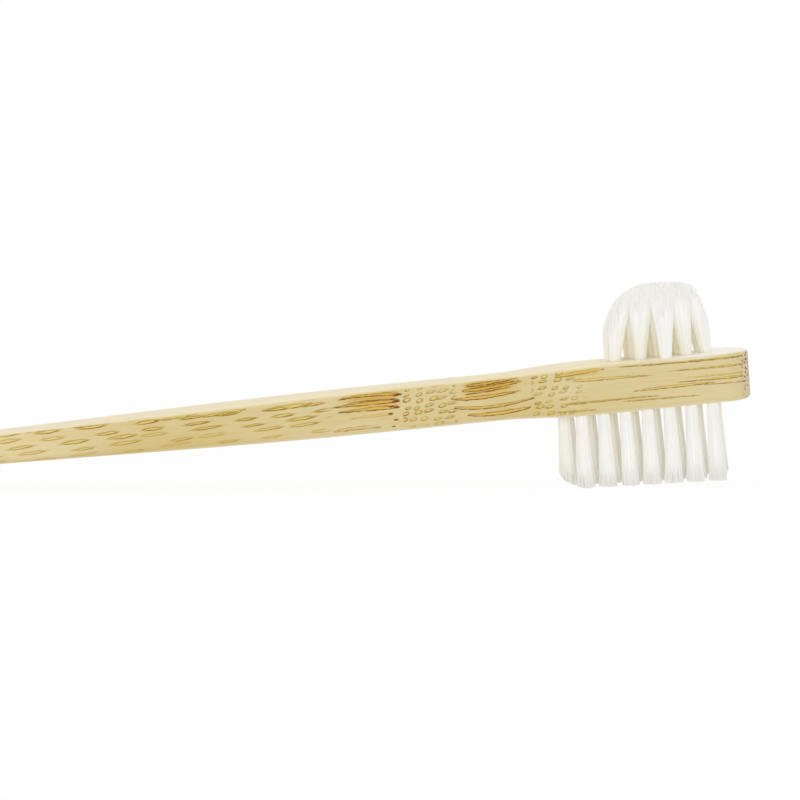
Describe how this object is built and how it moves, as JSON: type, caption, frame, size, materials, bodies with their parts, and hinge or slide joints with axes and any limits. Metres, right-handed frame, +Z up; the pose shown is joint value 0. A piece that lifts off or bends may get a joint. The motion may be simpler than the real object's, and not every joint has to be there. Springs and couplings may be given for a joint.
{
  "type": "denture brush",
  "caption": "Bamboo-handled denture brush with a flat field of tufts below its head and a domed field above, resting on its tail and flat tips.",
  "frame": {"origin": "on the surface that the brush rests on, under the middle of its box", "axes": "+X from the tail to the head, +Z up, +Y away from the side that is seen"},
  "size_m": [0.1894, 0.014, 0.038],
  "materials": {
    "bamboo": "smooth sanded bamboo with long fibre marks",
    "nylon": "satin translucent filaments",
    "brass": "bright drawn strip"
  },
  "bodies": {
    "root": {"handle": "bamboo", "flat_side_anchors": "brass", "round_side_anchors": "brass", "flat_tuft_near_1": "nylon", "flat_tuft_near_2": "nylon", "flat_tuft_near_3": "nylon", "flat_tuft_near_4": "nylon", "flat_tuft_near_5": "nylon", "flat_tuft_near_6": "nylon", "flat_tuft_near_7": "nylon", "flat_tuft_middle_1": "nylon", "flat_tuft_middle_2": "nylon", "flat_tuft_middle_3": "nylon", "flat_tuft_middle_4": "nylon", "flat_tuft_middle_5": "nylon", "flat_tuft_middle_6": "nylon", "flat_tuft_middle_7": "nylon", "flat_tuft_middle_8": "nylon", "flat_tuft_far_1": "nylon", "flat_tuft_far_2": "nylon", "flat_tuft_far_3": "nylon", "flat_tuft_far_4": "nylon", "flat_tuft_far_5": "nylon", "flat_tuft_far_6": "nylon", "flat_tuft_far_7": "nylon", "round_tuft_1_1": "nylon", "round_tuft_1_2": "nylon", "round_tuft_2_1": "nylon", "round_tuft_2_2": "nylon", "round_tuft_2_3": "nylon", "round_tuft_3_1": "nylon", "round_tuft_3_2": "nylon", "round_tuft_3_3": "nylon", "round_tuft_3_4": "nylon", "round_tuft_4_1": "nylon", "round_tuft_4_2": "nylon", "round_tuft_4_3": "nylon", "round_tuft_5_1": "nylon", "round_tuft_5_2": "nylon"}
  },
  "joints": []
}
